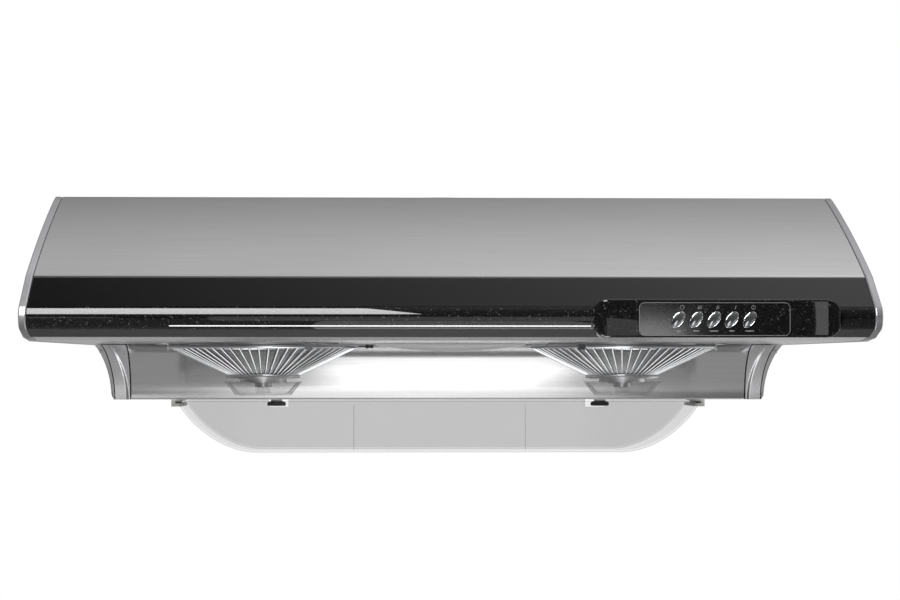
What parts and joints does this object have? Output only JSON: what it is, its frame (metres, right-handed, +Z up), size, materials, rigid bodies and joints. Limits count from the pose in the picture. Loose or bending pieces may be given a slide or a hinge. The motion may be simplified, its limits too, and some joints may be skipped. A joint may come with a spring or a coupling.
{
  "type": "under cabinet range hood",
  "caption": "Shallow under-cabinet range hood with a curved steel cover, black bumper with push buttons, cone grilles with oil cups, and a clear slide-out oil tray.",
  "frame": {"origin": "centre of the four cabinet screw holes, on the top face", "axes": "+Z up, +Y towards the wall behind, +X to the right as seen from the front"},
  "size_m": [0.75, 0.5558, 0.262],
  "materials": {
    "steel": "satin grey painted steel with a fine grain",
    "lower_steel": "polished stainless sheet",
    "end_cap": "silver painted plastic",
    "fairing": "silver plastic",
    "strip": "smooth black",
    "bumper": "gloss black with fine metal flake",
    "overlay": "black film with a printed outline",
    "button": "mirror chrome",
    "switch": "moulded nylon",
    "housing": "zinc-coated sheet",
    "inlet": "pressed steel",
    "impeller": "moulded black nylon",
    "shaft": "ground steel",
    "motor": "dark enamel",
    "collar": "grey moulded plastic",
    "wire": "bright plated wire",
    "cup": "clear plastic",
    "tray": "clear plastic",
    "lens": "frosted white plastic",
    "reflector": "satin",
    "led": "white board",
    "terminal": "grey",
    "rubber": "matt black",
    "capacitor": "satin can",
    "harness": "black sleeve",
    "screw": "plated steel"
  },
  "bodies": {
    "hood": {"top_panel": "steel", "front_cover": "steel", "back_panel": "steel", "side_panel_left": "steel", "side_panel_right": "steel", "lower_shell": "lower_steel", "bottom_pan": "lower_steel", "end_cap_left": "end_cap", "end_cap_right": "end_cap", "side_fairing_left": "fairing", "side_fairing_right": "fairing", "corner_trim_left": "fairing", "corner_trim_right": "fairing", "fascia_strip": "strip", "front_bumper": "bumper", "control_pod": "bumper", "control_overlay": "overlay", "button_bezels": "button", "switch_block": "switch", "blower_housing_left": "housing", "blower_housing_right": "housing", "exhaust_box": "housing", "motor_bracket_left": "housing", "motor_bracket_right": "housing", "inlet_ring_left": "inlet", "inlet_ring_right": "inlet", "damper_spindle": "shaft", "motor_left": "motor", "motor_right": "motor", "outlet_collar": "collar", "grille_clips": "wire", "lamp_lens": "lens", "lamp_housing": "reflector", "tray_rails": "reflector", "led_module": "led", "terminal_box": "terminal", "terminal_lid": "terminal", "cable_grommet": "rubber", "drain_spouts": "rubber", "capacitors": "capacitor", "wiring_harness": "harness", "screws": "screw"},
    "button_light": {"button_light": "button"},
    "button_high": {"button_high": "button"},
    "button_medium": {"button_medium": "button"},
    "button_low": {"button_low": "button"},
    "button_power": {"button_power": "button"},
    "fan_left": {"impeller_left": "impeller", "shaft_left": "shaft"},
    "damper_left": {"damper_flap_left": "collar"},
    "cone_left": {"grille_left": "wire", "grille_plate_left": "wire"},
    "cup_left": {"oil_cup_left": "cup"},
    "fan_right": {"impeller_right": "impeller", "shaft_right": "shaft"},
    "damper_right": {"damper_flap_right": "collar"},
    "cone_right": {"grille_right": "wire", "grille_plate_right": "wire"},
    "cup_right": {"oil_cup_right": "cup"},
    "tray": {"oil_tray": "tray"}
  },
  "joints": [
    {"name": "light_press", "type": "slide", "parent": "hood", "child": "button_light", "axis": [0, 1, 0], "range_m": [0, 0.003], "stiffness_N_per_m": 300},
    {"name": "high_press", "type": "slide", "parent": "hood", "child": "button_high", "axis": [0, 1, 0], "range_m": [0, 0.003], "stiffness_N_per_m": 300},
    {"name": "medium_press", "type": "slide", "parent": "hood", "child": "button_medium", "axis": [0, 1, 0], "range_m": [0, 0.003], "stiffness_N_per_m": 300},
    {"name": "low_press", "type": "slide", "parent": "hood", "child": "button_low", "axis": [0, 1, 0], "range_m": [0, 0.003], "stiffness_N_per_m": 300},
    {"name": "power_press", "type": "slide", "parent": "hood", "child": "button_power", "axis": [0, 1, 0], "range_m": [0, 0.003], "stiffness_N_per_m": 300},
    {"name": "fan_left_spin", "type": "hinge", "parent": "hood", "child": "fan_left", "pos_m": [-0.1785, -0.09, -0.1], "axis": [0, 0, 1], "continuous": true},
    {"name": "damper_left_swing", "type": "hinge", "parent": "hood", "child": "damper_left", "pos_m": [0, 0.035, -0.055], "axis": [0, 1, 0], "range_deg": [0, 75]},
    {"name": "cone_left_lower", "type": "slide", "parent": "hood", "child": "cone_left", "axis": [0, 0, -1], "range_m": [0, 0.125]},
    {"name": "cup_left_lower", "type": "slide", "parent": "cone_left", "child": "cup_left", "axis": [0, 0, -1], "range_m": [0, 0.092]},
    {"name": "fan_right_spin", "type": "hinge", "parent": "hood", "child": "fan_right", "pos_m": [0.1785, -0.09, -0.1], "axis": [0, 0, 1], "continuous": true},
    {"name": "damper_right_swing", "type": "hinge", "parent": "hood", "child": "damper_right", "pos_m": [0, 0.035, -0.055], "axis": [0, -1, 0], "range_deg": [0, 75]},
    {"name": "cone_right_lower", "type": "slide", "parent": "hood", "child": "cone_right", "axis": [0, 0, -1], "range_m": [0, 0.125]},
    {"name": "cup_right_lower", "type": "slide", "parent": "cone_right", "child": "cup_right", "axis": [0, 0, -1], "range_m": [0, 0.092]},
    {"name": "tray_pull", "type": "slide", "parent": "hood", "child": "tray", "axis": [0, -1, 0], "range_m": [0, 0.13]}
  ]
}
